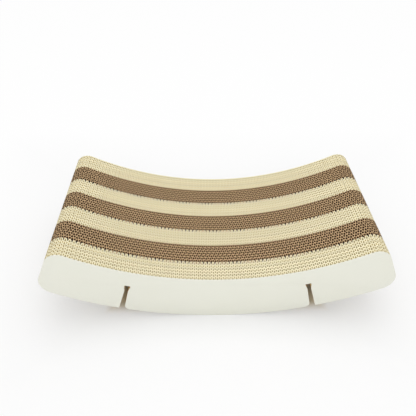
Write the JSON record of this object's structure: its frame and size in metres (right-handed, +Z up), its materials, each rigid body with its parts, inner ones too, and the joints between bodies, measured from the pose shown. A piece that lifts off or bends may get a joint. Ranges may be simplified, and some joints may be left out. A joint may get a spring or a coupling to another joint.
{
  "type": "cat scratcher",
  "caption": "Curved block of striped corrugated cardboard on edge, with a hollow top for a cat to scratch and lie on, white side panels and dovetail leg slots in the underside.",
  "frame": {"origin": "on the floor under the middle of the block, at the lowest line of the convex underside", "axes": "+X along the length to the right, +Y from the front panel to the back panel, +Z up"},
  "size_m": [0.56, 0.2758, 0.1425],
  "materials": {
    "white_board": "smooth matt coated",
    "cream_corrugated": "matt, flutes open at the edge",
    "brown_corrugated": "matt, flutes open at the edge"
  },
  "bodies": {
    "root": {"front_panel": "white_board", "stripe_1_cream_sheet_1": "cream_corrugated", "stripe_1_cream_sheet_2": "cream_corrugated", "stripe_1_cream_sheet_3": "cream_corrugated", "stripe_1_cream_sheet_4": "cream_corrugated", "stripe_1_cream_sheet_5": "cream_corrugated", "stripe_1_cream_sheet_6": "cream_corrugated", "stripe_2_brown_sheet_1": "brown_corrugated", "stripe_2_brown_sheet_2": "brown_corrugated", "stripe_2_brown_sheet_3": "brown_corrugated", "stripe_2_brown_sheet_4": "brown_corrugated", "stripe_2_brown_sheet_5": "brown_corrugated", "stripe_2_brown_sheet_6": "brown_corrugated", "stripe_2_brown_sheet_7": "brown_corrugated", "stripe_3_cream_sheet_1": "cream_corrugated", "stripe_3_cream_sheet_2": "cream_corrugated", "stripe_3_cream_sheet_3": "cream_corrugated", "stripe_3_cream_sheet_4": "cream_corrugated", "stripe_3_cream_sheet_5": "cream_corrugated", "stripe_3_cream_sheet_6": "cream_corrugated", "stripe_4_brown_sheet_1": "brown_corrugated", "stripe_4_brown_sheet_2": "brown_corrugated", "stripe_4_brown_sheet_3": "brown_corrugated", "stripe_4_brown_sheet_4": "brown_corrugated", "stripe_4_brown_sheet_5": "brown_corrugated", "stripe_4_brown_sheet_6": "brown_corrugated", "stripe_4_brown_sheet_7": "brown_corrugated", "stripe_5_cream_sheet_1": "cream_corrugated", "stripe_5_cream_sheet_2": "cream_corrugated", "stripe_5_cream_sheet_3": "cream_corrugated", "stripe_5_cream_sheet_4": "cream_corrugated", "stripe_5_cream_sheet_5": "cream_corrugated", "stripe_5_cream_sheet_6": "cream_corrugated", "stripe_6_brown_sheet_1": "brown_corrugated", "stripe_6_brown_sheet_2": "brown_corrugated", "stripe_6_brown_sheet_3": "brown_corrugated", "stripe_6_brown_sheet_4": "brown_corrugated", "stripe_6_brown_sheet_5": "brown_corrugated", "stripe_6_brown_sheet_6": "brown_corrugated", "stripe_6_brown_sheet_7": "brown_corrugated", "stripe_7_cream_sheet_1": "cream_corrugated", "stripe_7_cream_sheet_2": "cream_corrugated", "stripe_7_cream_sheet_3": "cream_corrugated", "stripe_7_cream_sheet_4": "cream_corrugated", "stripe_7_cream_sheet_5": "cream_corrugated", "stripe_7_cream_sheet_6": "cream_corrugated", "back_panel": "white_board"}
  },
  "joints": []
}
